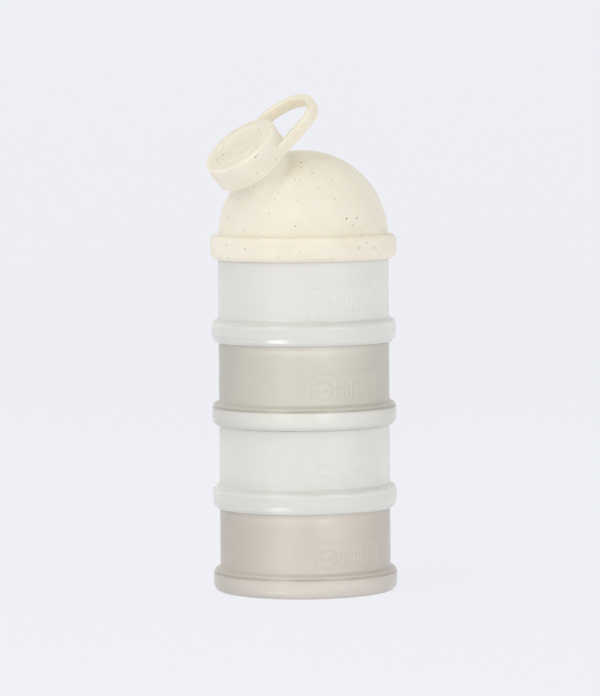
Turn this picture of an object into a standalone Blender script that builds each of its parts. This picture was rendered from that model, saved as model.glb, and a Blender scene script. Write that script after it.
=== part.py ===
"""Stackable baby formula dispenser at rest, in metres, +Z up, the axis of the stack on Z.

Four identical cups screw into one another, a domed lid with a tilted spout screws onto the top cup,
and a screw cap with a finger loop closes the spout. Every skirt holds a flat silicone seal ring.
"""

import math

import bmesh
import bpy
from mathutils import Matrix, Vector

MM = 0.001
SEGMENTS = 40  # around each large round piece
SEAL_SEGMENTS = 32
RIDGE_STEP = 9.0  # degrees between the cross-sections of a thread ridge

# The stack
PITCH = 37.0  # from one cup to the next
CUPS = 4

# One cup, heights above the bottom of its skirt
BODY_R = 38.0
BODY_IN_R = 36.0
RING_R = 41.1
RING_TOP_Z = 10.6
RING_SHOULDER = 3.0
FLOOR_UNDER_Z = 7.8
FLOOR_TOP_Z = 9.4
SKIRT_IN_R = 37.6
SKIRT_LAND_R = 38.3
SKIRT_ROUND_Z = 3.0
BODY_TOP_Z = 36.7
NECK_R = 36.3
NECK_IN_R = 34.8
NECK_TOP_Z = 43.0

# The thread between cups: four starts, right-handed
CUP_LEAD = 12.0
CUP_STARTS = 4
NECK_RIDGE_TIP_R = 37.3
NECK_RIDGE_Z = 38.0
NECK_RIDGE_SWEEP = 99.0
SKIRT_RIDGE_TIP_R = 36.6
SKIRT_RIDGE_Z = 2.5
SKIRT_RIDGE_SWEEP = 45.0
RIDGE_ROOT_DEPTH = 0.4  # how far a ridge reaches into its wall
RIDGE_HEIGHT = 0.9  # along the axis

# The lid
LID_Z = CUPS * PITCH
LID_RING_R = 41.5
LID_WALL_TOP_Z = 156.5
LID_LEDGE_Z = 158.9
LID_SHOULDER = 2.4
DOME_R = 37.8
DOME_IN_R = 36.0
DOME_CENTRE_Z = 158.4
LID_LIP_R = 34.8

# The spout, measured along its own axis from the centre of the dome
SPOUT_TILT = math.radians(40.6)
SPOUT_AZIMUTH = math.radians(217.3)
SPOUT_R = 14.2
SPOUT_BORE_R = 12.4
SPOUT_TOP = 50.2
SPOUT_FILLET = 4.0
SPOUT_LEAD = 9.0
SPOUT_STARTS = 3
SPOUT_RIDGE_TIP_R = 15.1
SPOUT_RIDGE_Z = 44.2
SPOUT_RIDGE_SWEEP = 126.0
SPOUT_SEGMENTS = 40

# The spout cap
CAP_R = 17.6
CAP_IN_R = 15.5
CAP_BOTTOM = 42.0
CAP_TOP = 53.8
CAP_CEILING = 51.5
CAP_ROUND = 1.3
CAP_RECESS_R = 12.4
CAP_RECESS_DEPTH = 0.5
CAP_RIDGE_TIP_R = 14.5
CAP_RIDGE_SWEEP = 63.0
LOOP_HALF_WIDTH = 17.4
LOOP_TIP = 41.4
LOOP_BAR = 3.2
LOOP_BOTTOM = 42.1
LOOP_TOP = 47.5
LOOP_CHAMFER = 0.5

# The seals
SEAL_GAP = 0.3
SEAL_IN_R = 34.9
SEAL_R = 37.2
SEAL_Z = 6.3
SEAL_THICK = 1.2
CAP_SEAL_IN_R = 12.2
CAP_SEAL_R = 15.0
CAP_SEAL_Z = 50.5
CAP_SEAL_THICK = 0.7

CREAM = (0.80, 0.73, 0.60)
FROST = (0.74, 0.75, 0.72)
TAUPE = (0.55, 0.49, 0.43)
SILICONE = (0.82, 0.82, 0.80)


def clear_scene():
    for obj in list(bpy.data.objects):
        bpy.data.objects.remove(obj)


def new_collection(name):
    collection = bpy.data.collections.new(name)
    bpy.context.scene.collection.children.link(collection)
    return collection


def material(name, colour, roughness, transmission):
    made = bpy.data.materials.new(name)
    made.use_nodes = True
    shader = made.node_tree.nodes["Principled BSDF"]
    shader.inputs["Base Color"].default_value = (*colour, 1.0)
    shader.inputs["Roughness"].default_value = roughness
    shader.inputs["Transmission Weight"].default_value = transmission
    return made


def mesh_object(name, points, edges, faces, collection):
    """A mesh object from points in millimetres."""
    mesh = bpy.data.meshes.new(name)
    mesh.from_pydata([[c * MM for c in p] for p in points], edges, faces)
    mesh.update()
    obj = bpy.data.objects.new(name, mesh)
    collection.objects.link(obj)
    return obj


def arc(centre_r, centre_z, radius_r, radius_z, start, end, steps):
    """Points on an ellipse arc from start to end degrees, measured from +R towards +Z."""
    found = []
    for i in range(steps + 1):
        angle = math.radians(start + (end - start) * i / steps)
        found.append((centre_r + radius_r * math.cos(angle), centre_z + radius_z * math.sin(angle)))
    return found


def turned(name, profile, collection, segments=SEGMENTS):
    """A solid turned about Z. The profile runs down its outer side, top to bottom."""
    points = [(max(r, 0.0), 0.0, z) for r, z in profile]
    edges = [(i, i + 1) for i in range(len(points) - 1)]
    if profile[0][0] > 0:
        edges.append((len(points) - 1, 0))
    obj = mesh_object(name, points, edges, [], collection)
    screw = obj.modifiers.new("Turn", "SCREW")
    screw.angle = math.tau
    screw.steps = segments
    screw.render_steps = segments
    screw.use_merge_vertices = True
    screw.merge_threshold = 0.00001
    return obj


def ridges(name, root_r, tip_r, start_z, sweep, lead, starts, collection):
    """The ridges of one thread. Each is a short upright edge wound up the wall, then thickened off it."""
    half = RIDGE_HEIGHT / 2
    points = []
    for k in range(starts):
        angle = math.tau * k / starts + math.radians(RIDGE_STEP / 2)
        x = root_r * math.cos(angle)
        y = root_r * math.sin(angle)
        points += [(x, y, start_z - half), (x, y, start_z + half)]
    edges = [(2 * k, 2 * k + 1) for k in range(starts)]
    obj = mesh_object(name, points, edges, [], collection)
    screw = obj.modifiers.new("Wind", "SCREW")
    screw.angle = math.radians(sweep)
    screw.screw_offset = lead * sweep / 360 * MM
    screw.steps = round(sweep / RIDGE_STEP)
    screw.render_steps = screw.steps
    thicken = obj.modifiers.new("Thicken", "SOLIDIFY")
    thicken.thickness = abs(tip_r - root_r) * MM
    thicken.offset = -1 if tip_r > root_r else 1
    hide(obj)
    return obj


def hide(obj):
    obj.hide_render = True
    obj.display_type = "WIRE"


def boolean(obj, other, operation):
    made = obj.modifiers.new(operation.title() + " " + other.name, "BOOLEAN")
    made.operation = operation
    made.solver = "EXACT"
    made.object = other


def applied(obj, name):
    """The mesh of an object with its modifiers applied. The object itself is removed."""
    bpy.context.view_layer.update()
    graph = bpy.context.evaluated_depsgraph_get()
    mesh = bpy.data.meshes.new_from_object(obj.evaluated_get(graph))
    mesh.name = name
    bpy.data.objects.remove(obj)
    return mesh


def soften(obj):
    obj.data.shade_smooth()
    obj.data.set_sharp_from_angle(angle=math.radians(32))


def place(name, mesh, paint, matrix, collection):
    """A named piece that shows a mesh in a material of its own, held by the object."""
    obj = bpy.data.objects.new(name, mesh)
    if not mesh.materials:
        mesh.materials.append(None)
    collection.objects.link(obj)
    obj.material_slots[0].link = "OBJECT"
    obj.material_slots[0].material = paint
    obj.matrix_world = matrix
    soften(obj)
    return obj


def skirt_profile(ring_r, land_r, base_z):
    """The rounded lower edge of a skirt and its inner wall, down the outside and up the inside."""
    profile = [(ring_r, base_z + SKIRT_ROUND_Z)]
    profile += arc(land_r, base_z + SKIRT_ROUND_Z, ring_r - land_r, SKIRT_ROUND_Z, 0, -90, 3)[1:]
    profile += [(SKIRT_IN_R, base_z), (SKIRT_IN_R, base_z + FLOOR_UNDER_Z)]
    return profile


def cup_profile():
    profile = [(0, FLOOR_TOP_Z), (34.6, FLOOR_TOP_Z), (BODY_IN_R, 10.8), (BODY_IN_R, 32.5)]
    profile += [(NECK_IN_R, 35.0), (NECK_IN_R, NECK_TOP_Z), (NECK_R, NECK_TOP_Z)]
    profile += [(NECK_R, BODY_TOP_Z), (BODY_R, BODY_TOP_Z)]
    shoulder_z = RING_TOP_Z - RING_SHOULDER
    profile += arc(BODY_R, shoulder_z, RING_R - BODY_R, RING_SHOULDER, 90, 0, 3)
    profile += skirt_profile(RING_R, SKIRT_LAND_R, 0)
    profile += [(0, FLOOR_UNDER_Z)]
    return profile


def skirt_ridges(base_z, helpers):
    root = SKIRT_IN_R + RIDGE_ROOT_DEPTH
    z = base_z + SKIRT_RIDGE_Z
    sweep = SKIRT_RIDGE_SWEEP
    return ridges("skirt_thread", root, SKIRT_RIDGE_TIP_R, z, sweep, CUP_LEAD, CUP_STARTS, helpers)


def cup_mesh(helpers):
    cup = turned("cup_blank", cup_profile(), helpers)
    root = NECK_R - RIDGE_ROOT_DEPTH
    neck = ridges(
        "neck_thread", root, NECK_RIDGE_TIP_R, NECK_RIDGE_Z, NECK_RIDGE_SWEEP, CUP_LEAD, CUP_STARTS, helpers
    )
    boolean(cup, neck, "UNION")
    boolean(cup, skirt_ridges(0, helpers), "UNION")
    return applied(cup, "cup")


def lid_profile():
    rise = math.degrees(math.asin((LID_LEDGE_Z - DOME_CENTRE_Z) / DOME_R))
    profile = [(0, DOME_CENTRE_Z + DOME_R)]
    profile += arc(0, DOME_CENTRE_Z, DOME_R, DOME_R, 90, rise, 10)[1:]
    profile += arc(LID_RING_R - LID_SHOULDER, LID_WALL_TOP_Z, LID_SHOULDER, LID_SHOULDER, 90, 0, 3)
    profile += skirt_profile(LID_RING_R, SKIRT_LAND_R, LID_Z)
    profile += [(LID_LIP_R, LID_Z + FLOOR_UNDER_Z), (LID_LIP_R, 157.0)]
    profile += arc(0, DOME_CENTRE_Z, DOME_IN_R, DOME_IN_R, 0, 90, 8)
    return profile


def spout_profile():
    """The spout and the fillet at its root. Its foot stays inside the wall of the dome."""
    centre_r = SPOUT_R + SPOUT_FILLET
    centre_z = math.sqrt((DOME_R + SPOUT_FILLET) ** 2 - centre_r**2)
    end = 180 + math.degrees(math.atan2(centre_z, centre_r))
    profile = [(0, SPOUT_TOP), (SPOUT_R - 0.4, SPOUT_TOP), (SPOUT_R, SPOUT_TOP - 0.4)]
    profile += arc(centre_r, centre_z, SPOUT_FILLET, SPOUT_FILLET, 180, end, 3)
    profile += [(16.2, 33.3), (9.0, 35.9), (0, 35.9)]
    return profile


def spout_frame():
    """The pose of the spout: local Z along its axis, local X uphill, origin at the centre of the dome."""
    tilt = SPOUT_TILT
    azimuth = SPOUT_AZIMUTH
    flat = Vector((math.cos(azimuth), math.sin(azimuth), 0))
    axis = flat * math.sin(tilt) + Vector((0, 0, math.cos(tilt)))
    uphill = flat * -math.cos(tilt) + Vector((0, 0, math.sin(tilt)))
    side = axis.cross(uphill)
    frame = Matrix((uphill, side, axis)).transposed().to_4x4()
    frame.translation = Vector((0, 0, DOME_CENTRE_Z * MM))
    return frame


def spout_mesh(helpers):
    """The spout with its thread, in its own frame, not yet bored."""
    spout = turned("spout_blank", spout_profile(), helpers, SPOUT_SEGMENTS)
    root = SPOUT_R - RIDGE_ROOT_DEPTH
    thread = ridges(
        "spout_thread",
        root,
        SPOUT_RIDGE_TIP_R,
        SPOUT_RIDGE_Z,
        SPOUT_RIDGE_SWEEP,
        SPOUT_LEAD,
        SPOUT_STARTS,
        helpers,
    )
    boolean(spout, thread, "UNION")
    return applied(spout, "spout")


def lid_mesh(helpers):
    """The lid in world axes, its spout joined on and bored through."""
    lid = turned("lid_blank", lid_profile(), helpers)
    boolean(lid, skirt_ridges(LID_Z, helpers), "UNION")
    spout = bpy.data.objects.new("spout_solid", spout_mesh(helpers))
    helpers.objects.link(spout)
    bore = turned("spout_bore", [(0, 60), (SPOUT_BORE_R, 60), (SPOUT_BORE_R, 24), (0, 24)], helpers)
    for piece in (spout, bore):
        piece.matrix_world = spout_frame()
        hide(piece)
    boolean(lid, spout, "UNION")
    boolean(lid, bore, "DIFFERENCE")
    return applied(lid, "lid")


def add_outline(curve, points):
    """A closed flat outline, one spline of a 2D curve."""
    spline = curve.splines.new("POLY")
    spline.points.add(len(points) - 1)
    for target, (x, y) in zip(spline.points, points):
        target.co = (x * MM, y * MM, 0, 1)
    spline.use_cyclic_u = True


def u_outline(half_width, near, tip):
    """Two straight sides and the half circle that joins them at the tip."""
    centre = tip - half_width
    outline = [(near, -half_width)]
    outline += arc(centre, 0, half_width, half_width, -90, 90, 12)
    outline.append((near, half_width))
    return outline


def loop_object(helpers):
    """The finger loop: a flat outline with a long hole, extruded, its edges chamfered."""
    curve = bpy.data.curves.new("loop_outline", "CURVE")
    curve.dimensions = "2D"
    curve.fill_mode = "BOTH"
    add_outline(curve, u_outline(LOOP_HALF_WIDTH, 0, LOOP_TIP))
    add_outline(curve, u_outline(LOOP_HALF_WIDTH - LOOP_BAR, 2, LOOP_TIP - LOOP_BAR))
    curve.extrude = (LOOP_TOP - LOOP_BOTTOM) / 2 * MM - LOOP_CHAMFER * MM
    curve.bevel_depth = LOOP_CHAMFER * MM
    curve.bevel_resolution = 0
    curve.offset = -LOOP_CHAMFER * MM
    outline = bpy.data.objects.new("loop_outline", curve)
    helpers.objects.link(outline)
    mesh = applied(outline, "loop")
    work = bmesh.new()
    work.from_mesh(mesh)
    bmesh.ops.remove_doubles(work, verts=work.verts, dist=0.00001)
    bmesh.ops.recalc_face_normals(work, faces=work.faces)
    work.to_mesh(mesh)
    work.free()
    obj = bpy.data.objects.new("loop_solid", mesh)
    obj.location.z = (LOOP_TOP + LOOP_BOTTOM) / 2 * MM
    helpers.objects.link(obj)
    hide(obj)
    return obj


def cap_mesh(helpers):
    """The spout cap in the frame of the spout."""
    top = CAP_TOP
    floor = top - CAP_RECESS_DEPTH
    outside = [(0, floor), (CAP_RECESS_R - 0.4, floor), (CAP_RECESS_R, top)]
    outside += arc(CAP_R - CAP_ROUND, top - CAP_ROUND, CAP_ROUND, CAP_ROUND, 90, 0, 3)
    outside += [(CAP_R, CAP_BOTTOM + 0.3), (CAP_R - 0.3, CAP_BOTTOM), (0, CAP_BOTTOM)]
    cap = turned("cap_blank", outside, helpers, SPOUT_SEGMENTS)
    bore = [(0, CAP_CEILING), (CAP_IN_R, CAP_CEILING), (CAP_IN_R, 30), (0, 30)]
    hollow = turned("cap_hollow", bore, helpers, SPOUT_SEGMENTS)
    hide(hollow)
    thread = ridges(
        "cap_thread",
        CAP_IN_R + RIDGE_ROOT_DEPTH,
        CAP_RIDGE_TIP_R,
        SPOUT_RIDGE_Z + 1.5,
        CAP_RIDGE_SWEEP,
        SPOUT_LEAD,
        SPOUT_STARTS,
        helpers,
    )
    boolean(cap, loop_object(helpers), "UNION")
    boolean(cap, hollow, "DIFFERENCE")
    boolean(cap, thread, "UNION")
    return applied(cap, "cap")


def seal_mesh(inner, outer, low, thick, helpers):
    """A flat ring of silicone."""
    profile = [(inner, low + thick), (outer, low + thick), (outer, low), (inner, low)]
    return applied(turned("seal_blank", profile, helpers, SEAL_SEGMENTS), "seal")


def build():
    clear_scene()
    pieces = new_collection("formula_dispenser")
    helpers = new_collection("helpers")
    cream = material("cream_fibre_plastic", CREAM, 0.45, 0.0)
    frost = material("frosted_clear_plastic", FROST, 0.35, 0.5)
    taupe = material("frosted_taupe_plastic", TAUPE, 0.35, 0.4)
    rubber = material("silicone", SILICONE, 0.5, 0.0)
    cup = cup_mesh(helpers)
    seal = seal_mesh(SEAL_IN_R, SEAL_R, SEAL_Z, SEAL_THICK, helpers)
    names = ("base_cup", "cup_3", "cup_2", "cup_1")
    paints = (taupe, frost, taupe, frost)
    for k in range(CUPS):
        lift = Matrix.Translation((0, 0, k * PITCH * MM))
        place(names[k], cup, paints[k], lift, pieces)
        place("seal_" + names[k], seal, rubber, lift, pieces)
    place("seal_lid", seal, rubber, Matrix.Translation((0, 0, LID_Z * MM)), pieces)
    place("lid", lid_mesh(helpers), cream, Matrix(), pieces)
    cap_seal = seal_mesh(CAP_SEAL_IN_R, CAP_SEAL_R, CAP_SEAL_Z, CAP_SEAL_THICK, helpers)
    place("seal_spout_cap", cap_seal, rubber, spout_frame(), pieces)
    place("spout_cap", cap_mesh(helpers), cream, spout_frame(), pieces)
    helpers.hide_render = True


build()
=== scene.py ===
"""Looks of the stackable formula dispenser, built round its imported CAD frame.

Lengths in the constants and outlines are millimetres. An outline is a list of corners (r, z, round, splits)
turned about Z: round is the radius of the corner, splits the number of rows on the leg that follows it.
"""

import math

import bmesh
import bpy
import numpy as np
from mathutils import Matrix, Vector


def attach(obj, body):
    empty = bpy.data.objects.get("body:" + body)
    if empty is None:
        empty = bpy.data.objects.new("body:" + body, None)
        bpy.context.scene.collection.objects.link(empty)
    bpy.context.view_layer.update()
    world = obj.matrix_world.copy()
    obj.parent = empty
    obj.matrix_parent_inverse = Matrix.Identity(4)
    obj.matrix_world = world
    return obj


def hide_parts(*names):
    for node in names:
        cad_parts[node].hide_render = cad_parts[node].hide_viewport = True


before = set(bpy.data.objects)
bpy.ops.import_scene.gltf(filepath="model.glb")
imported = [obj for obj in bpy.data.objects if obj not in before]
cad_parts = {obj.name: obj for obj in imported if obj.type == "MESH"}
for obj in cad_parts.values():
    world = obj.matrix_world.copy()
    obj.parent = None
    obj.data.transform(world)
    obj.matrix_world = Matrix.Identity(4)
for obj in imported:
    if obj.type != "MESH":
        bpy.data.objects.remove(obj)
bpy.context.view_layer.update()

MM = 0.001
PITCH = 37.0
LID_Z = 148.0
DOME_Z = 158.4
BODY_R = 38.0
RING_R = 41.1
SKIRT_IN_R = 37.6
SKIRT_CEILING = 7.8
NECK_R = 36.3
LID_RING_R = 41.5
LIP_R = 34.8
DOME_R = 37.8
DOME_IN_R = 36.0
SPOUT_R = 14.2
CAP_R = 17.6
CAP_IN_R = 15.5
SPOUT_TILT = math.radians(40.6)
SPOUT_AZIMUTH = math.radians(217.3)

# piece, body it rides on, height of its skirt, material slot, turn of its label in degrees
CUPS = (
    ("base_cup", "base", 0.0, "taupe_plastic", 1.5),
    ("cup_3", "cup_3", PITCH, "frosted_plastic", 2.0),
    ("cup_2", "cup_2", 2 * PITCH, "taupe_plastic", 0.0),
    ("cup_1", "cup_1", 3 * PITCH, "frosted_plastic", 0.0),
)
SEALS = (
    ("seal_base_cup", "base", 0.0),
    ("seal_cup_3", "seal_under_cup_3", PITCH),
    ("seal_cup_2", "seal_under_cup_2", 2 * PITCH),
    ("seal_cup_1", "seal_under_cup_1", 3 * PITCH),
    ("seal_lid", "seal_under_lid", LID_Z),
)

# A thread: wall radius, tip radius, height and angle of its start, sweep, lead, number of starts
NECK_THREAD = (NECK_R, 37.3, 38.0, 4.5, 99.0, 12.0, 4)
SKIRT_THREAD = (SKIRT_IN_R, 36.6, 2.5, 4.5, 45.0, 12.0, 4)
SPOUT_THREAD = (SPOUT_R, 15.1, 44.2, 4.5, 126.0, 9.0, 3)
CAP_THREAD = (CAP_IN_R, 14.5, 45.7, 4.5, 63.0, 9.0, 3)

# The label moulded on each cup: its angle about the axis, its middle, and its sizes
LABEL_ANGLE = -60.5
LABEL_Z = 18.0
LABEL_RISE = 0.24
LABEL_HALF_X = 16.2
LABEL_HALF_Y = 6.9
MARK_X = -11.2
MARK_R = 3.9
TICK_PITCH = 1.9

STAGE_BASE = (0.10, 0.10, 0.10)
STAGE_GLOW = (0.785, 0.793, 0.835)
SKY = (0.50, 0.487, 0.44)
BOUNCES = 24


# ---------------------------------------------------------------- shapes


def filleted(corners):
    """Points (r, z) of an outline with its corners rounded and its legs split into rows."""
    count = len(corners)
    closed = corners[0][0] > 0
    found = []
    for i, (r, z, size, splits) in enumerate(corners):
        here = Vector((r, z))
        arc = [here]
        if size > 0 and (closed or 0 < i < count - 1):
            back = (Vector(corners[i - 1][:2]) - here).normalized()
            on = (Vector(corners[(i + 1) % count][:2]) - here).normalized()
            half = back.angle(on) / 2
            reach = size / math.tan(half)
            centre = here + (back + on).normalized() * (size / math.sin(half))
            first = here + back * reach - centre
            last = here + on * reach - centre
            steps = max(2, round((math.pi - 2 * half) / math.radians(15)))
            turn = first.angle_signed(last)
            arc = [centre + Matrix.Rotation(-turn * k / steps, 2) @ first for k in range(steps + 1)]
        if found and found[-1][1] > 1:
            found += split_leg(found[-1][0], arc[0], found[-1][1])
        found += [(p, 1) for p in arc]
        found[-1] = (found[-1][0], splits)
    return [(p.x, p.y) for p, _ in found]


def split_leg(start, end, rows):
    return [(start.lerp(end, k / rows), 1) for k in range(1, rows)]


def arc_corners(radius, centre_z, start, end, steps):
    """Corners with no round of their own, on an arc about the axis point at centre_z."""
    found = []
    for k in range(steps + 1):
        angle = math.radians(start + (end - start) * k / steps)
        found.append((radius * math.cos(angle), centre_z + radius * math.sin(angle), 0, 1))
    return found


def even(count):
    return np.radians(np.arange(count) * 360.0 / count)


def columns_for(centre):
    """Angles round a cup: close together over the label, further apart elsewhere."""
    fine = np.arange(-31.0, 31.0, 0.5)
    coarse = np.linspace(31.0, 329.0, 298, endpoint=False)
    return np.radians(np.concatenate([fine, coarse]) + centre)


def smooth_step(low, high, x):
    t = np.clip((x - low) / (high - low), 0, 1)
    return t * t * (3 - 2 * t)


def thread_relief(thread, base_z=0.0):
    """A relief function: how far the ridges of a thread stand off their wall at each point."""
    wall, tip, start_z, start_angle, sweep, lead, starts = thread

    def relief(r, z, angle):
        height = np.zeros(np.broadcast(r, angle).shape)
        on_wall = abs(r - wall) < 0.02
        for k in range(starts):
            turned = np.mod(np.degrees(angle) - start_angle - 360.0 * k / starts, 360.0)
            ridge_z = base_z + start_z + lead * turned / 360.0
            across = 1 - smooth_step(0.25, 0.7, abs(z - ridge_z))
            ends = smooth_step(0, 5, turned) * (1 - smooth_step(sweep - 5, sweep, turned))
            height = np.maximum(height, across * ends * on_wall)
        return height * (tip - wall)

    return relief


def turned(name, corners, angles, reliefs=()):
    """A closed mesh object turned about Z from an outline, its walls pushed out by the relief functions."""
    points = np.array(filleted(corners))
    r = points[:, :1] + np.zeros((1, len(angles)))
    z = points[:, 1:] + np.zeros((1, len(angles)))
    a = angles[None, :] + np.zeros((len(points), 1))
    reach = sum((relief(r, z, a) for relief in reliefs), r)
    grid = np.stack([reach * np.cos(a), reach * np.sin(a), z], axis=2) * MM
    verts = []
    rows = []
    for i, (radius, _) in enumerate(points):
        count = 1 if radius < 1e-6 else len(angles)
        rows.append(range(len(verts), len(verts) + count))
        verts += grid[i, :count].tolist()
    pairs = list(zip(rows, rows[1:]))
    if corners[0][0] > 0:
        pairs.append((rows[-1], rows[0]))
    faces = [face for upper, lower in pairs for face in joined_rows(upper, lower)]
    return new_object(name, verts, faces)


def joined_rows(upper, lower):
    """The faces between two rows of points. A row of one point closes to a fan."""
    count = max(len(upper), len(lower))
    for j in range(count):
        ring = [upper[j % len(upper)], upper[(j + 1) % len(upper)]]
        ring += [lower[(j + 1) % len(lower)], lower[j % len(lower)]]
        yield list(dict.fromkeys(ring))


def new_object(name, verts, faces):
    mesh = bpy.data.meshes.new(name)
    mesh.from_pydata(verts, [], faces)
    work = bmesh.new()
    work.from_mesh(mesh)
    bmesh.ops.recalc_face_normals(work, faces=work.faces)
    work.to_mesh(mesh)
    work.free()
    obj = bpy.data.objects.new(name, mesh)
    bpy.context.scene.collection.objects.link(obj)
    return obj


def joined(obj, other, operation):
    """Applies an exact Boolean with another object, which is then removed."""
    modifier = obj.modifiers.new(operation, "BOOLEAN")
    modifier.operation = operation
    modifier.solver = "EXACT"
    modifier.object = other
    flatten(obj)
    bpy.data.objects.remove(other)


def flatten(obj):
    """Applies every modifier, or turns a curve into its mesh."""
    bpy.context.view_layer.update()
    graph = bpy.context.evaluated_depsgraph_get()
    mesh = bpy.data.meshes.new_from_object(obj.evaluated_get(graph))
    obj.modifiers.clear()
    if obj.type == "MESH":
        obj.data = mesh
        return obj
    made = bpy.data.objects.new(obj.name + "_mesh", mesh)
    made.matrix_world = obj.matrix_world.copy()
    bpy.context.scene.collection.objects.link(made)
    bpy.data.objects.remove(obj)
    return made


def finish_piece(obj, name, body, paint, slot, matrix=Matrix()):
    """Bakes the place into the mesh, smooths it, paints it and hands it to the frame."""
    obj.name = name + "_look"
    obj.data.transform(matrix)
    obj.data.materials.clear()
    obj.data.materials.append(paint)
    obj.data.shade_smooth()
    obj.data.set_sharp_from_angle(angle=math.radians(40))
    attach(obj, body)
    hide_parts(name)
    return obj


# ---------------------------------------------------------------- the label moulded on each cup


def stroke(distance, width):
    """1 on a line of that width about distance 0, with soft edges."""
    return 1 - smooth_step(width / 2 - 0.12, width / 2 + 0.22, abs(distance))


def box_distance(x, y, half_x, half_y, corner):
    dx = abs(x) - half_x + corner
    dy = abs(y) - half_y + corner
    outside = np.hypot(np.maximum(dx, 0), np.maximum(dy, 0))
    return outside + np.minimum(np.maximum(dx, dy), 0) - corner


def label_relief(turn):
    """A plain rectangular frame, a round mark with a wave in it, and two rows of measuring ticks."""

    def relief(r, z, angle):
        off = np.degrees(angle) - LABEL_ANGLE - turn
        off = np.mod(off + 180, 360) - 180
        x = np.radians(off) * BODY_R
        y = z - LABEL_Z
        shape = stroke(box_distance(x, y, LABEL_HALF_X, LABEL_HALF_Y, 1.2), 0.5)
        mark_x = x - MARK_X
        ring = np.hypot(mark_x, y)
        shape = np.maximum(shape, stroke(ring - MARK_R, 0.8))
        wave = y + 0.4 - 0.7 * np.sin(mark_x * 1.7)
        shape = np.maximum(shape, stroke(wave, 0.7) * (ring < MARK_R))
        for row_y, count in ((2.0, 9), (-2.0, 11)):
            for k in range(count):
                tall = 1.5 if k % 4 == 0 else 1.0
                tick = box_distance(x + 5.2 - TICK_PITCH * k, y - row_y, 0.32, tall, 0.3)
                shape = np.maximum(shape, 1 - smooth_step(-0.1, 0.25, tick))
        on_wall = (abs(r - BODY_R) < 0.02) * (z > 10.7) * (z < 26)
        return LABEL_RISE * shape * on_wall

    return relief


# ---------------------------------------------------------------- the pieces


def skirt_corners(ring_r, base_z):
    """The lower edge of a skirt and its inner wall, up to its ceiling."""
    return [
        (ring_r, base_z + 3.5, 0.6, 1),
        (ring_r - 0.42, base_z + 1.7, 0.5, 1),
        (ring_r - 1.6, base_z + 0.32, 0.5, 1),
        (ring_r - 2.9, base_z, 0.5, 1),
        (SKIRT_IN_R, base_z, 0.08, 1),
        (SKIRT_IN_R, base_z + 0.9, 0, 18),
        (SKIRT_IN_R, base_z + 6.0, 0, 1),
        (SKIRT_IN_R, base_z + SKIRT_CEILING, 0.3, 1),
    ]


def make_cup(name, body, base_z, slot, turn):
    corners = [
        (0, 9.4, 0, 1),
        (36.0, 9.4, 1.6, 1),
        (36.0, 32.8, 2.0, 1),
        (LIP_R, 35.2, 2.0, 1),
        (LIP_R, 43.0, 0.4, 1),
        (NECK_R, 43.0, 0.4, 1),
        (NECK_R, 42.2, 0, 16),
        (NECK_R, 37.1, 0, 1),
        (NECK_R, 36.95, 0.2, 1),
        (BODY_R, 36.95, 0.08, 1),
        (BODY_R, 25.4, 0, 44),
        (BODY_R, 12.6, 0, 1),
        (BODY_R, 11.1, 1.3, 1),
        (40.3, 9.9, 1.0, 1),
        (RING_R, 8.1, 0.8, 1),
    ]
    corners += skirt_corners(RING_R, 0)
    corners += [(3.0, SKIRT_CEILING, 0.2, 1), (2.4, 8.0, 0.2, 1), (0, 8.0, 0, 1)]
    reliefs = (thread_relief(NECK_THREAD), thread_relief(SKIRT_THREAD), label_relief(turn))
    cup = turned(name + "_mesh", corners, columns_for(LABEL_ANGLE + turn), reliefs)
    lift = Matrix.Translation((0, 0, base_z * MM))
    return finish_piece(cup, name, body, PAINTS[name], slot, lift)


def spout_frame():
    """Local Z along the spout, local X uphill, origin at the centre of the dome."""
    flat = Vector((math.cos(SPOUT_AZIMUTH), math.sin(SPOUT_AZIMUTH), 0))
    axis = flat * math.sin(SPOUT_TILT) + Vector((0, 0, math.cos(SPOUT_TILT)))
    uphill = flat * -math.cos(SPOUT_TILT) + Vector((0, 0, math.sin(SPOUT_TILT)))
    made = Matrix((uphill, axis.cross(uphill), axis)).transposed().to_4x4()
    made.translation = Vector((0, 0, DOME_Z * MM))
    return made


def make_lid():
    rise = math.degrees(math.asin((158.9 - DOME_Z) / DOME_R))
    corners = arc_corners(DOME_R, DOME_Z, 90, rise, 46)
    corners[0] = (0, DOME_Z + DOME_R, 0, 1)
    corners += [(38.9, 158.9, 0.2, 1), (LID_RING_R, 158.8, 2.2, 1)]
    corners += skirt_corners(LID_RING_R, LID_Z)
    corners += [(LIP_R, LID_Z + SKIRT_CEILING, 0.3, 1), (LIP_R, 157.3, 0.6, 1)]
    corners += arc_corners(DOME_IN_R, DOME_Z, 1, 90, 30)
    corners[-1] = (0, DOME_Z + DOME_IN_R, 0, 1)
    lid = turned("lid_mesh", corners, even(200), [thread_relief(SKIRT_THREAD, LID_Z)])
    spout = turned("spout_mesh", spout_corners(), even(120), [thread_relief(SPOUT_THREAD)])
    bore = turned("bore_mesh", [(0, 60, 0, 1), (12.4, 60, 0, 1), (12.4, 24, 0, 1), (0, 24, 0, 1)], even(120))
    for piece in (spout, bore):
        piece.data.transform(spout_frame())
    joined(lid, spout, "UNION")
    joined(lid, bore, "DIFFERENCE")
    return finish_piece(lid, "lid", "lid", PAINTS["cream"], "cream_plastic")


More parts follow.
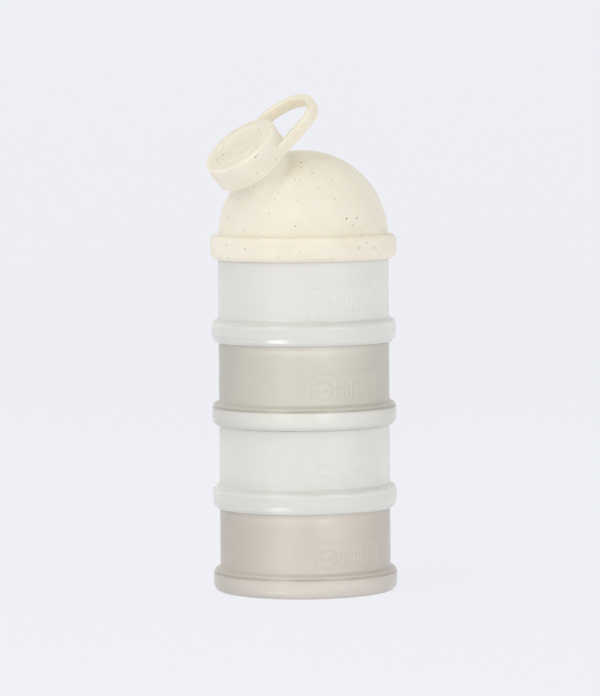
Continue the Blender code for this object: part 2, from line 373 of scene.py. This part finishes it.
def spout_corners():
    """The spout and the fillet at its root, which ends inside the wall of the dome."""
    fillet = 4.0
    centre_r = SPOUT_R + fillet
    centre_z = math.sqrt((DOME_R + fillet) ** 2 - centre_r**2)
    end = 180 + math.degrees(math.atan2(centre_z, centre_r))
    corners = [(0, 50.2, 0, 1), (SPOUT_R, 50.2, 0.6, 1), (SPOUT_R, 49.4, 0, 22)]
    for k in range(13):
        angle = math.radians(180 + (end - 180) * k / 12)
        corners.append((centre_r + fillet * math.cos(angle), centre_z + fillet * math.sin(angle), 0, 1))
    return corners + [(16.2, 33.3, 0, 1), (9.0, 35.9, 0, 1), (0, 35.9, 0, 1)]


def loop_outline(curve, half_width, near, tip):
    """Two straight sides and the half circle that joins them at the tip, as one closed spline."""
    centre = tip - half_width
    points = [(near, -half_width)]
    for k in range(49):
        angle = math.radians(-90 + 180 * k / 48)
        points.append((centre + half_width * math.cos(angle), half_width * math.sin(angle)))
    points.append((near, half_width))
    spline = curve.splines.new("POLY")
    spline.points.add(len(points) - 1)
    for target, (x, y) in zip(spline.points, points):
        target.co = (x * MM, y * MM, 0, 1)
    spline.use_cyclic_u = True


def make_loop():
    """The finger loop: a flat outline with a long hole, extruded, its edges rounded."""
    edge = 0.6
    curve = bpy.data.curves.new("loop_outline", "CURVE")
    curve.dimensions = "2D"
    curve.fill_mode = "BOTH"
    loop_outline(curve, 17.35, 0, 41.35)
    loop_outline(curve, 14.2, 2, 38.2)
    curve.extrude = (2.63 - edge) * MM
    curve.bevel_depth = edge * MM
    curve.bevel_resolution = 3
    curve.offset = -edge * MM
    outline = bpy.data.objects.new("loop_outline", curve)
    bpy.context.scene.collection.objects.link(outline)
    loop = flatten(outline)
    loop.data.transform(Matrix.Translation((0, 0, 44.8 * MM)))
    work = bmesh.new()
    work.from_mesh(loop.data)
    bmesh.ops.remove_doubles(work, verts=work.verts, dist=0.00001)
    bmesh.ops.recalc_face_normals(work, faces=work.faces)
    work.to_mesh(loop.data)
    work.free()
    return loop


def make_cap():
    outside = [(0, 53.45, 0, 1), (4.2, 53.45, 0.15, 1), (4.5, 53.2, 0.15, 1), (5.3, 53.2, 0.15, 1)]
    outside += [(5.6, 53.3, 0.15, 1), (9.9, 53.3, 0.15, 1), (10.15, 53.55, 0.12, 1)]
    outside += [(10.75, 53.55, 0.12, 1), (11.0, 53.3, 0.15, 1), (12.0, 53.3, 0.3, 1)]
    outside += [(12.5, 53.8, 0.3, 1), (CAP_R, 53.8, 1.3, 1), (CAP_R, 42.0, 0.4, 1), (0, 42.0, 0, 1)]
    cap = turned("cap_mesh", outside, even(160))
    inside = [(0, 51.5, 0, 1), (CAP_IN_R, 51.5, 0.3, 1), (CAP_IN_R, 50.0, 0, 24), (CAP_IN_R, 43.0, 0, 1)]
    inside += [(CAP_IN_R, 42.5, 0.2, 1), (15.9, 42.0, 0.2, 1), (15.9, 30, 0, 1), (0, 30, 0, 1)]
    hollow = turned("hollow_mesh", inside, even(160), [thread_relief(CAP_THREAD)])
    joined(cap, make_loop(), "UNION")
    joined(cap, hollow, "DIFFERENCE")
    return finish_piece(cap, "spout_cap", "spout_cap", PAINTS["cream"], "cream_plastic", spout_frame())


def ring_corners(inner, outer, low, thick):
    """A flat ring of silicone with a bead along the middle of its lower face."""
    middle = (inner + outer) / 2
    edge = thick * 0.24
    return [
        (inner, low + thick, edge, 1),
        (outer, low + thick, edge, 1),
        (outer, low + 0.15 * thick, edge, 1),
        (middle + 0.5, low + 0.15 * thick, 0.05, 1),
        (middle + 0.3, low, 0.05, 1),
        (middle - 0.3, low, 0.05, 1),
        (middle - 0.5, low + 0.15 * thick, 0.05, 1),
        (inner, low + 0.15 * thick, edge, 1),
    ]


def make_seals():
    for name, body, base_z in SEALS:
        seal = turned(name + "_mesh", ring_corners(34.9, 37.2, 6.3, 1.2), even(160))
        lift = Matrix.Translation((0, 0, base_z * MM))
        finish_piece(seal, name, body, PAINTS["silicone"], "silicone", lift)
    small = turned("cap_seal_mesh", ring_corners(12.2, 15.0, 50.5, 0.7), even(120))
    finish_piece(small, "seal_spout_cap", "seal_in_cap", PAINTS["silicone"], "silicone", spout_frame())


# ---------------------------------------------------------------- materials


class Nodes:
    """Short names for building a node material."""

    def __init__(self, name):
        self.material = bpy.data.materials.new(name)
        self.material.use_nodes = True
        self.tree = self.material.node_tree
        self.shader = self.tree.nodes["Principled BSDF"]
        self.place = self.add("ShaderNodeTexCoord").outputs["Object"]

    def add(self, kind, **settings):
        node = self.tree.nodes.new(kind)
        for name, value in settings.items():
            setattr(node, name, value)
        return node

    def link(self, source, target):
        self.tree.links.new(source, target)

    def set(self, **values):
        for name, value in values.items():
            self.shader.inputs[name.replace("_", " ")].default_value = value

    def moved(self, shift=(0, 0, 0), scale=(1, 1, 1)):
        node = self.add("ShaderNodeMapping")
        self.link(self.place, node.inputs["Vector"])
        node.inputs["Location"].default_value = shift
        node.inputs["Scale"].default_value = scale
        return node.outputs["Vector"]

    def noise(self, scale, detail=2.0, shift=(0, 0, 0), stretch=(1, 1, 1)):
        node = self.add("ShaderNodeTexNoise")
        self.link(self.moved(shift, stretch), node.inputs["Vector"])
        node.inputs["Scale"].default_value = scale
        node.inputs["Detail"].default_value = detail
        return node.outputs["Fac"]

    def ranged(self, source, low, high, to_low=0.0, to_high=1.0):
        node = self.add("ShaderNodeMapRange", interpolation_type="SMOOTHSTEP")
        self.link(source, node.inputs["Value"])
        for name, value in zip(("From Min", "From Max", "To Min", "To Max"), (low, high, to_low, to_high)):
            node.inputs[name].default_value = value
        return node.outputs["Result"]

    def maths(self, operation, first, second):
        node = self.add("ShaderNodeMath", operation=operation)
        for target, value in zip(node.inputs, (first, second)):
            if isinstance(value, float):
                target.default_value = value
            else:
                self.link(value, target)
        return node.outputs["Value"]

    def mixed(self, factor, first, second):
        node = self.add("ShaderNodeMix", data_type="RGBA")
        self.link(factor, node.inputs["Factor"])
        for target, value in zip((node.inputs[6], node.inputs[7]), (first, second)):
            if isinstance(value, tuple):
                target.default_value = (*value, 1.0)
            else:
                self.link(value, target)
        return node.outputs[2]

    def specks(self, cell, shift, share, small, large):
        """1 inside round specks. cell is their spacing and small and large their radii, in millimetres.

        share is how many of the cells hold a speck. The second output is a shade of its own for each.
        """
        node = self.add("ShaderNodeTexVoronoi")
        self.link(self.moved(shift), node.inputs["Vector"])
        node.inputs["Scale"].default_value = 1000.0 / cell
        split = self.add("ShaderNodeSeparateColor")
        self.link(node.outputs["Color"], split.inputs["Color"])
        kept = self.ranged(split.outputs["Red"], 1 - share - 0.001, 1 - share)
        size = self.ranged(split.outputs["Green"], 0.0, 1.0, small / cell, large / cell)
        inside = self.maths("SUBTRACT", size, node.outputs["Distance"])
        sharp = self.ranged(inside, -0.02, 0.035)
        return self.maths("MULTIPLY", sharp, kept), split.outputs["Blue"]

    def bump(self, *heights):
        """Chains bumps. Each height is (source, distance in mm, strength)."""
        normal = None
        for source, distance, strength in heights:
            node = self.add("ShaderNodeBump")
            node.inputs["Distance"].default_value = distance * MM
            node.inputs["Strength"].default_value = strength
            self.link(source, node.inputs["Height"])
            if normal is not None:
                self.link(normal, node.inputs["Normal"])
            normal = node.outputs["Normal"]
        self.link(normal, self.shader.inputs["Normal"])


def moulded_plastic(name, base_z, pale, deep, through, line, skirt_tone_and_painted_light):
    """Frosted plastic that lets light through, with cloudy colour, faint turned lines and a fine grain.

    Painted light and shade by height: a band at the floor is painted lighter on the frosted cups and darker on
    the taupe ones, where the floor's edge would show through the wall, and the skirt below it is painted
    towards the colour of the neck that sits under it in this stack, with a plain change of tone on the base
    cup.
    """
    n = Nodes(name)
    cloud = n.noise(55, 3.0)
    streak = n.noise(1.0, 2.0, (3.1, 0, 0), (12, 12, 900))
    tint = n.mixed(n.ranged(cloud, 0.3, 0.7), pale, deep)
    split = n.add("ShaderNodeSeparateXYZ")
    n.link(n.place, split.inputs["Vector"])
    height = split.outputs["Z"]
    # Painted light and shade: the skirt takes on the colour of the neck that would show through it from the
    # cup below in this stack; on the base cup it is only a change of tone.
    skirt_light_and_tone_share, skirt_light_and_tone_colour = skirt_tone_and_painted_light
    skirt_light_and_tone_mask = n.ranged(height, (base_z + 8.4) * MM, (base_z + 7.4) * MM, 0.0, skirt_light_and_tone_share)
    tint = n.mixed(skirt_light_and_tone_mask, tint, skirt_light_and_tone_colour)
    # Painted light and shade: a band where the floor's edge would show through the wall, lighter on the
    # frosted cups and darker on the taupe ones.
    low, high, floor_band_light_shade_share, floor_band_light_shade_colour = line
    edge = n.ranged(height, (base_z + low - 0.4) * MM, (base_z + low) * MM, 0.0, floor_band_light_shade_share)
    edge = n.maths("MULTIPLY", edge, n.ranged(height, (base_z + high + 0.5) * MM, (base_z + high) * MM))
    tint = n.mixed(edge, tint, floor_band_light_shade_colour)
    n.link(tint, n.shader.inputs["Base Color"])
    polish = n.ranged(height, (base_z + 10.2) * MM, (base_z + 9.0) * MM, 0.0, 0.2)
    n.link(n.maths("SUBTRACT", n.ranged(streak, 0.3, 0.7, 0.3, 0.36), polish), n.shader.inputs["Roughness"])
    n.bump((streak, 0.003, 0.5), (n.noise(2600, 1.0), 0.004, 0.5))
    n.set(IOR=1.47, Transmission_Weight=through)
    return n.material


def frost(name, base_z):
    # Painted light: a brighter band where the floor's edge would show through the frosted wall.
    line = (7.7, 9.0, 0.5, (0.99, 0.98, 0.95))
    # Painted shade: the skirt is greyer where the taupe neck of the cup below would show through it.
    skirt_tone_and_painted_light = (0.6, (0.87, 0.87, 0.84))
    return moulded_plastic(name, base_z, (0.96, 0.95, 0.90), (0.945, 0.935, 0.885), 0.42, line, skirt_tone_and_painted_light)


def taupe(name, base_z, pale, skirt_tone_and_painted_light):
    # Painted shade: a dark band where the floor's edge would show through the tinted wall.
    line = (8.3, 8.9, 0.8, (0.40, 0.365, 0.31))
    deep = tuple(0.96 * c for c in pale)
    return moulded_plastic(name, base_z, pale, deep, 0.35, line, skirt_tone_and_painted_light)


def fibre_plastic(name, pale, deep):
    """Cream plastic filled with plant fibre: cloudy, with crisp dark specks and fainter brown ones."""
    n = Nodes(name)
    cloud = n.noise(70, 4.0)
    tint = n.mixed(n.ranged(cloud, 0.3, 0.7), pale, deep)
    light, _ = n.specks(2.6, (0.9, 0.3, 0.2), 0.3, 0.3, 0.7)
    tint = n.mixed(n.maths("MULTIPLY", light, 0.08), tint, (0.97, 0.94, 0.86))
    faint, shade = n.specks(2.8, (0.4, 0.1, 0.7), 0.75, 0.2, 0.55)
    faint = n.maths("MULTIPLY", faint, n.ranged(shade, 0.0, 1.0, 0.1, 0.5))
    tint = n.mixed(faint, tint, (0.40, 0.30, 0.18))
    dark, shade = n.specks(4.2, (0.2, 0.8, 0.5), 0.85, 0.1, 0.44)
    strength = n.maths("MULTIPLY", dark, n.ranged(shade, 0.0, 0.7, 0.6, 1.0))
    tint = n.mixed(strength, tint, (0.04, 0.03, 0.02))
    n.link(tint, n.shader.inputs["Base Color"])
    n.link(n.ranged(cloud, 0.3, 0.7, 0.37, 0.44), n.shader.inputs["Roughness"])
    n.bump((n.noise(900, 3.0), 0.04, 0.25), (dark, 0.05, 0.3))
    n.set(IOR=1.48, Subsurface_Weight=0.4, Subsurface_Scale=0.003, Subsurface_Radius=(1.0, 0.7, 0.45))
    return n.material


def rubber(name):
    n = Nodes(name)
    cloud = n.noise(120, 3.0)
    tint = n.mixed(n.ranged(cloud, 0.3, 0.7), (0.80, 0.80, 0.78), (0.74, 0.74, 0.71))
    n.link(tint, n.shader.inputs["Base Color"])
    n.link(n.ranged(cloud, 0.3, 0.7, 0.45, 0.6), n.shader.inputs["Roughness"])
    n.bump((n.noise(1800, 2.0), 0.02, 0.3))
    n.set(IOR=1.41, Subsurface_Weight=0.4, Subsurface_Scale=0.002)
    return n.material


PAINTS = {
    # The last value of each taupe paint is its skirt's colour below the floor: painted light on cup_2, where
    # the frosted neck of cup_3 would show through, and a plain change of tone on the base cup.
    "base_cup": taupe("frosted_taupe_base", 0.0, (0.585, 0.538, 0.47), (0.8, (0.585, 0.545, 0.49))),
    "cup_3": frost("frosted_clear_low", PITCH),
    "cup_2": taupe("frosted_taupe_upper", 2 * PITCH, (0.585, 0.552, 0.482), (0.9, (0.69, 0.68, 0.635))),
    "cup_1": frost("frosted_clear_high", 3 * PITCH),
    "cream": fibre_plastic("cream_fibre", (0.895, 0.832, 0.70), (0.855, 0.788, 0.645)),
    "silicone": rubber("silicone_ring"),
}


# ---------------------------------------------------------------- stage, lights and camera


def bowl(name, corners):
    """An open surface turned about Z, facing up and inwards."""
    points = filleted(corners)
    verts = []
    rows = []
    for r, z in points:
        turn = even(96 if r > 0 else 1)
        rows.append(range(len(verts), len(verts) + len(turn)))
        verts += [(r * MM * math.cos(a), r * MM * math.sin(a), z * MM) for a in turn]
    faces = [face for upper, lower in zip(rows, rows[1:]) for face in joined_rows(upper, lower)]
    obj = new_object(name, verts, faces)
    if obj.data.polygons[0].normal.z < 0:
        obj.data.flip_normals()
    return obj


def make_stage():
    """A round floor that curves up into a low wall, pale and mostly lit of its own."""
    floor = bowl("stage_floor", [(0, 0, 0, 1), (4000, 0, 900, 1), (4000, 2600, 0, 1)])
    floor.data.shade_smooth()
    paint = bpy.data.materials.new("stage_paint")
    paint.use_nodes = True
    shader = paint.node_tree.nodes["Principled BSDF"]
    shader.inputs["Base Color"].default_value = (*STAGE_BASE, 1.0)
    shader.inputs["Roughness"].default_value = 1.0
    shader.inputs["Specular IOR Level"].default_value = 0.0
    shader.inputs["Emission Color"].default_value = (*STAGE_GLOW, 1.0)
    shader.inputs["Emission Strength"].default_value = 1.0
    floor.data.materials.append(paint)
    return floor


def softbox(name, azimuth, elevation, distance, size, power, target=(0, 0, 0.11)):
    """An area light that looks at the target. Azimuth 0 is at the camera, positive to its right."""
    light = bpy.data.lights.new(name, "AREA")
    light.shape = "RECTANGLE"
    light.size, light.size_y = size
    light.energy = power
    obj = bpy.data.objects.new(name, light)
    a, e = math.radians(azimuth), math.radians(elevation)
    back = Vector((math.sin(a) * math.cos(e), -math.cos(a) * math.cos(e), math.sin(e)))
    obj.location = Vector(target) + back * distance
    obj.rotation_mode = "QUATERNION"
    obj.rotation_quaternion = (-back).to_track_quat("-Z", "Y")
    obj.visible_camera = False
    bpy.context.scene.collection.objects.link(obj)
    return obj


def only(light, name, pieces):
    """A light that reaches some pieces only, and that nothing else shades."""
    group = bpy.data.collections.new(name)
    for piece in pieces:
        group.objects.link(piece)
    light.light_linking.receiver_collection = group
    light.light_linking.blocker_collection = group
    return light


def make_sky():
    world = bpy.data.worlds.new("studio")
    world.use_nodes = True
    world.node_tree.nodes["Background"].inputs["Color"].default_value = (*SKY, 1.0)
    world.node_tree.nodes["Background"].inputs["Strength"].default_value = 1.0
    bpy.context.scene.world = world


def make_lights(cups):
    """Three lights for everything, soft ones for the cups alone, and one that only glints on their collars."""
    softbox("key", -38, 30, 1.6, (0.7, 0.9), 5.2).data.color = (0.96, 0.985, 1.0)
    softbox("fill", 42, 25, 1.6, (0.7, 0.9), 3.3).data.color = (0.96, 0.985, 1.0)
    softbox("top", -60, 70, 1.2, (0.5, 0.5), 1.6, (0, 0, 0.19))
    taupe_cups = cups[::2]
    frost_cups = cups[1::2]
    # name, azimuth, elevation, size, power, pieces
    soft = (
        ("taupe_left", -24, 5, (0.5, 0.6), 7.2, taupe_cups),
        ("taupe_right", 25, 5, (0.5, 0.6), 9.5, taupe_cups),
        ("taupe_back", 180, 5, (0.9, 0.6), 9.0, taupe_cups),
        ("cups_back", 180, 15, (0.9, 0.6), 3.5, cups),
        ("under_left", -45, -22, (0.9, 0.4), 1.1, cups),
        ("under_right", 45, -22, (0.9, 0.4), 1.8, cups),
        ("side", 42, 5, (0.7, 0.7), 1.8, frost_cups),
    )
    for name, azimuth, elevation, size, power, pieces in soft:
        light = softbox(name, azimuth, elevation, 1.6, size, power)
        only(light, name + "_only", pieces).visible_glossy = False
    strip = softbox("strip", -36, -29.5, 1.2, (0.46, 0.2), 5.2, (0, 0, 0.075))
    only(strip, "rings_only", cups[:2] + cups[3:]).visible_diffuse = False


def make_camera():
    """The long lens, nearly level view of a product shot."""
    pitch = math.radians(3.9)
    roll = math.radians(-0.45)
    forward = Vector((0, math.cos(pitch), -math.sin(pitch)))
    right = Vector((1, 0, 0))
    up = right.cross(forward)
    side = right * math.cos(roll) + up * math.sin(roll)
    top = up * math.cos(roll) - right * math.sin(roll)
    data = bpy.data.cameras.new("camera")
    data.sensor_width = 36.0
    data.lens = 36.0 * 4350 / 696
    data.clip_start, data.clip_end = 0.05, 50
    camera = bpy.data.objects.new("camera", data)
    camera.rotation_mode = "QUATERNION"
    camera.rotation_quaternion = Matrix((side, top, -forward)).transposed().to_quaternion()
    camera.location = (-1.75 * MM, -1.935, 0.240)
    bpy.context.scene.collection.objects.link(camera)
    bpy.context.scene.camera = camera


def main():
    bpy.context.scene.view_settings.view_transform = "Standard"
    bpy.context.scene.cycles.max_bounces = BOUNCES
    bpy.context.scene.cycles.diffuse_bounces = BOUNCES // 2
    bpy.context.scene.cycles.transmission_bounces = BOUNCES
    cups = [make_cup(*settings) for settings in CUPS]
    make_seals()
    make_lid()
    make_cap()
    make_stage()
    make_sky()
    make_lights(cups)
    make_camera()


main()
